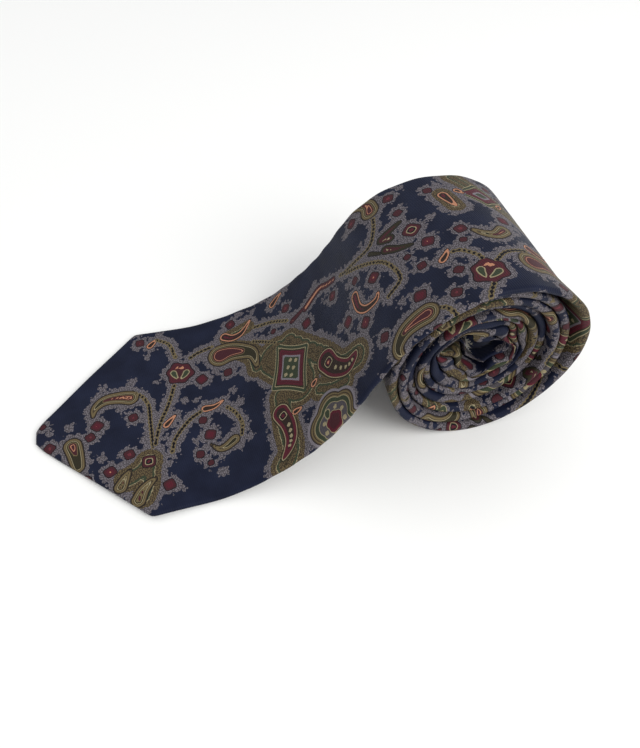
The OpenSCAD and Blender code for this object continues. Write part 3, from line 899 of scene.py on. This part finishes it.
def tube(name, centre, radius, material):
    """A closed ring of thread through centre points in millimetres."""
    count, sides = len(centre), 8
    run = np.roll(centre, -1, 0) - np.roll(centre, 1, 0)
    run /= np.linalg.norm(run, axis=1)[:, None]
    side = np.cross(run, (0, 0, 1.0))
    side /= np.linalg.norm(side, axis=1)[:, None]
    up = np.cross(side, run)
    a = np.linspace(0, 2 * math.pi, sides, endpoint=False)[:, None, None]
    points = (centre + radius * (np.cos(a) * side + np.sin(a) * up)).transpose(1, 0, 2).reshape(-1, 3)
    i, j = np.meshgrid(np.arange(count), np.arange(sides), indexing="ij")
    i2, j2 = (i + 1) % count, (j + 1) % sides
    faces = np.stack([i * sides + j, i * sides + j2, i2 * sides + j2, i2 * sides + j], -1).reshape(-1, 4)
    return mesh_object(name, points, faces, material)


# ---- the tie ----
PRINT, GROUND = spread_print(end_s, 96)
FIGURES = [figure for m in PRINT for figure in figures_in(m)]
silk = printed_silk()
wool = woven("brushed_wool_interlining", ("#d8d0bd", "#efe9db"), 1.1, 0.95, 0.25, Sheen_Weight=0.5)
lining_satin = woven("tipping_satin", ("#1b2242", "#262f55"), 0.7, 0.38, 0.03, 0.15, Sheen_Weight=0.15)
label_satin = woven("label_satin", ("#10131f", "#1a1e2d"), 0.6, 0.4, 0.03, 0.8, Sheen_Weight=0.1)
care_tape = woven("care_label_tape", ("#dcdad3", "#f1efe9"), 0.6, 0.5, 0.03, 0.8)
navy_thread = thread("navy_silk_thread", ("#141a2d", "#2a3350"), 0.5)
gold_thread = thread("gold_silk_thread", ("#9a7a3e", "#d6b677"), 0.42)
STITCH_TREE = stitch_tree()

tack_s = blade_lining[2][0] + 1
label_s, LABEL_L, LABEL_W = tack_s + 10, 20.0, 46.0
keeper_s, KEEPER_L, KEEPER_SPAN = label_s + LABEL_L + 6, 10.0, 42.0
neck_s, tail_s = BLADE_PANEL_L, BLADE_PANEL_L + NECK_PANEL_L
tail_tack_s = tail_lining[0][0] - 3


def stand_for(node):
    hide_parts(node)


def free(piece, node, slot):
    """The piece stands for a node of the free end."""
    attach(piece, "free_end")
    stand_for(node)


def rolled(piece, node, slot):
    """The piece stands for a node of the roll."""
    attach(piece, "roll")
    stand_for(node)


def bending(piece, node, slot):
    """The piece crosses from the roll to the free end, its mesh shaped to the bend between them; it is kept
    where it stands, attached to neither.
    """
    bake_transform(piece)
    stand_for(node)


def silk_pieces():
    for name, start, stop, grid, place, node in (
            ("blade_silk_outer_turn", BLUNT, split_s, GRID, bending, "blade_silk_free"),
            ("blade_silk_inner_turns", split_s, neck_s, INNER_GRID, rolled, "blade_silk_rolled"),
            ("neck_panel_silk", neck_s, tail_s, INNER_GRID, rolled, "neck_silk"),
            ("tail_panel_silk", tail_s, end_s - 2, INNER_GRID, rolled, "tail_silk")):
        piece, flat, area = silk_panel(name, start, stop, grid, silk)
        place(piece, node, "printed_silk")


def interlining_pieces():
    def span(s):
        half = np.maximum(half_w(s) - SILK_T - FOLD_IN - 0.4, 0.5)
        return -half, half
    for name, start, stop, place, node in (
            ("wool_interlining_outer_turn", BLUNT + 5, split_s, bending, "interlining_free"),
            ("wool_interlining_inner_turns", split_s, end_s - 7, rolled, "interlining_rolled")):
        piece, flat, area = strip(name, start, stop, 3.0, span, 0.55, -0.3, wool, cols=26)
        place(piece, node, "wool_interlining")


def tipping_pieces():
    """Plain satin that fills the open back of each end, hemmed under the silk flaps."""
    for name, table, place, node in (("blade_tipping_satin", blade_lining, free, "blade_tipping"),
                                     ("tail_tipping_satin", tail_lining, rolled, "tail_tipping")):
        at, half = zip(*table)

        def span(s):
            v = np.interp(s, at, half) + 1.6
            return -v, v
        piece, flat, area = strip(name, at[0] - 1, at[-1] + 1, 1.5, span, BACK + 0.7, BACK + 0.42,
                                  lining_satin, cols=36)
        place(piece, node, "tipping_satin")


def hem_places(table, pitch):
    """Small slanting stitches all round a tipping, at the flaps' edges."""
    at, half = zip(*table)
    return [(s, k * (np.interp(s, at, half) + 0.2), BACK + 0.18, 1.0, 0.0 if s < at[1] else -k)
            for s in np.arange(at[0] + 2.5, at[-1] - 2, pitch) for k in (-1, 1)]


def bar(s, threads, pitch, n):
    """Threads laid side by side across the middle of the tie."""
    return [(s + i * pitch, 0.1 * (-1) ** i, n, 0.0, 1.0) for i in range(threads)]


def stitched_pieces():
    """Each row: the places, the size and unevenness of a stitch, its thread, and what it stands for."""
    def slip(start, stop):
        return [(s, -OVERLAP + 0.1, BACK - 0.03, 0.9, 1.0) for s in np.arange(start + 2, stop - 2, 7.5)]
    keeper_ends = [(keeper_s + 1.2 + 0.55 * i, k * (KEEPER_SPAN / 2 - 1.2), BACK - 0.75, 0.0, 1.0)
                   for k in (-1, 1) for i in range(15)]
    corners = [(label_s + at + 0.42 * i, k * (LABEL_W / 2 - 2), BACK - 0.62, 0.0, 1.0)
               for at in (0.6, LABEL_L - 2.4) for k in (-1, 1) for i in range(5)]
    for name, places, size, uneven, dyed, place, node in (
            ("blade_tipping_hem", hem_places(blade_lining, 2.6), (1.7, 0.34, 0.3), 0.15, navy_thread,
             free, "blade_tipping_stitches"),
            ("tail_tipping_hem", hem_places(tail_lining, 2.2), (1.7, 0.34, 0.3), 0.15, navy_thread,
             rolled, "tail_tipping_stitches"),
            ("blade_tack", bar(tack_s, 8, 0.3, BACK - 0.12), (8.0, 0.42, 0.5), 0.06, navy_thread,
             free, "blade_bar_tack"),
            ("tail_tack", bar(tail_tack_s, 6, 0.28, BACK - 0.1), (5.0, 0.38, 0.42), 0.06, navy_thread,
             rolled, "tail_bar_tack"),
            ("slip_stitch_outer_turn", slip(tack_s + 4, split_s), (2.4, 0.4, 0.32), 0.12, navy_thread,
             bending, "slip_stitch_free"),
            ("slip_stitch_inner_turns", slip(split_s, tail_tack_s - 1), (2.4, 0.4, 0.32), 0.12, navy_thread,
             rolled, "slip_stitch_rolled"),
            ("keeper_tacks", keeper_ends, (2.2, 0.42, 0.4), 0.1, navy_thread, free, "keeper_loop_tacks"),
            ("gold_label_tacks", corners, (3.2, 0.44, 0.36), 0.08, gold_thread, free, "label_tacks")):
        slot = "gold_thread" if dyed is gold_thread else "navy_thread"
        place(stitches(name, places, size, uneven, dyed), node, slot)


def end_loop():
    """The slack end of the slip stitch, left as a small loop so that the tie can give."""
    a = np.linspace(0, 2 * math.pi, 36, endpoint=False)
    centre = lay(tack_s + 5 + 2.3 * np.cos(a), -3.5 + 1.9 * np.sin(a) * (1 + 0.25 * np.cos(a)),
                 BACK - 0.45 - 0.15 * np.cos(2 * a))
    free(tube("slip_stitch_loop", centre, 0.19, navy_thread), "slip_stitch_end_loop", "navy_thread")


def keeper():
    """A flat tube of the printed silk that stands a little off the back, to hold the narrow end."""
    s = keeper_s + np.linspace(0, KEEPER_L, 15)[:, None]
    y = np.linspace(-KEEPER_SPAN / 2, KEEPER_SPAN / 2, 60)[None, :]
    stand = 0.12 + 1.2 * ease((KEEPER_SPAN / 2 - 2.4 - np.abs(y)) / 6) + 0.12 * np.sin(y / 5)
    band = 0.5 * (1 - np.abs(np.linspace(-1, 1, 15)[:, None]) ** 6) + 0.04
    outer, inner = lay(s, y, BACK - stand - band), lay(s, y, BACK - stand + 0 * band)
    flat = np.stack([s + 0 * y + 300, y + 0 * s + 12], -1)
    piece = cloth("keeper_loop_silk", outer, inner, flat, silk)
    print_on(piece, flat)
    free(piece, "keeper_loop", "printed_silk")


def labels():
    def label(name, s0, length, y0, y1, lift, t, material, place, node, slot):
        s = s0 + np.linspace(0, length, 18)[:, None]
        y = np.linspace(y0, y1, 40)[None, :]
        rise = lift(s, y)
        hem = 0.22 * np.exp(-((np.minimum(y - y0, y1 - y) - 1.2) / 1.1) ** 4)   # ends folded under
        outer, inner = lay(s, y, BACK - rise - t - hem), lay(s, y, BACK - rise)
        piece = cloth(name, outer, inner, np.stack([s + 0 * y, y + 0 * s], -1), material)
        place(piece, node, slot)
    label("plain_label", label_s, LABEL_L, -LABEL_W / 2, LABEL_W / 2,
          lambda s, y: 0.2 + 0.16 * np.sin(y / 4.2) ** 2 * np.sin((s - label_s) / LABEL_L * math.pi),
          0.16, label_satin, free, "blank_label", "label_satin")
    care_s = tail_tack_s - 24
    label("care_tape", care_s, 18.0, 3.0, 13.0, lambda s, y: 0.06 + 0.02 * (s - care_s),
          0.12, care_tape, rolled, "care_label", "care_tape")


def seams():
    """Pressed-open seam allowances where the panels of silk are joined, inside the fold."""
    def span(s):
        half = half_w(s) - SILK_T - FOLD_IN - 0.5
        return -half, half
    allowance, grid, cols = 4.0, 0.5, 30
    rows = int(2 * allowance / grid) + 1
    for name, s, node in (("blade_neck_join", neck_s, "blade_neck_seam"),
                          ("neck_tail_join", tail_s, "neck_tail_seam")):
        piece, _, _ = strip(name, s - allowance, s + allowance, grid, span, 0.76, 0.58, silk, cols)
        print_on(piece, np.stack(np.meshgrid(np.linspace(s - allowance, s + allowance, rows),
                                             np.linspace(-20, 20, cols), indexing="ij"), -1))
        rolled(piece, node, "printed_silk")


silk_pieces()
interlining_pieces()
tipping_pieces()
stitched_pieces()
end_loop()
keeper()
labels()
seams()


# ---- floor, light and camera ----
def stage():
    bpy.ops.mesh.primitive_plane_add(size=6.0, location=(0, 0, 0))
    floor = bpy.context.object
    floor.name = "floor"
    material, _, surface = finish_of("plain_pale_floor", 0.55)
    surface.inputs["Base Color"].default_value = hex_colour("#f7f6f2")
    floor.data.materials.append(material)
    world = bpy.data.worlds.new("soft_room")
    bpy.context.scene.world = world
    world.use_nodes = True
    glow = world.node_tree.nodes["Background"].inputs
    glow["Color"].default_value = hex_colour("#f4f6fa")
    glow["Strength"].default_value = 0.8
    for name, place, size, watts in (("window", (0.62, -0.7, 0.8), 0.8, 10.0),
                                     ("fill", (-0.5, 0.7, 1.0), 1.2, 2.0)):
        light = bpy.data.lights.new(name, "AREA")
        light.size, light.energy = size, watts
        lamp = bpy.data.objects.new(name, light)
        lamp.location = place
        lamp.rotation_euler = (-Vector(place)).to_track_quat("-Z", "Y").to_euler()
        bpy.context.scene.collection.objects.link(lamp)
    view = bpy.context.scene.view_settings
    view.view_transform = "Standard"
    view.look = "None"


def camera():
    data = bpy.data.cameras.new("camera")
    data.sensor_width, data.lens = 36.0, 30.6
    data.clip_start = 0.01
    eye = bpy.data.objects.new("camera", data)
    eye.location = (-0.0264, -0.1565, 0.212)
    eye.rotation_euler = (math.radians(38.1), 0, math.radians(-14.2))
    bpy.context.scene.collection.objects.link(eye)
    bpy.context.scene.camera = eye


stage()
camera()
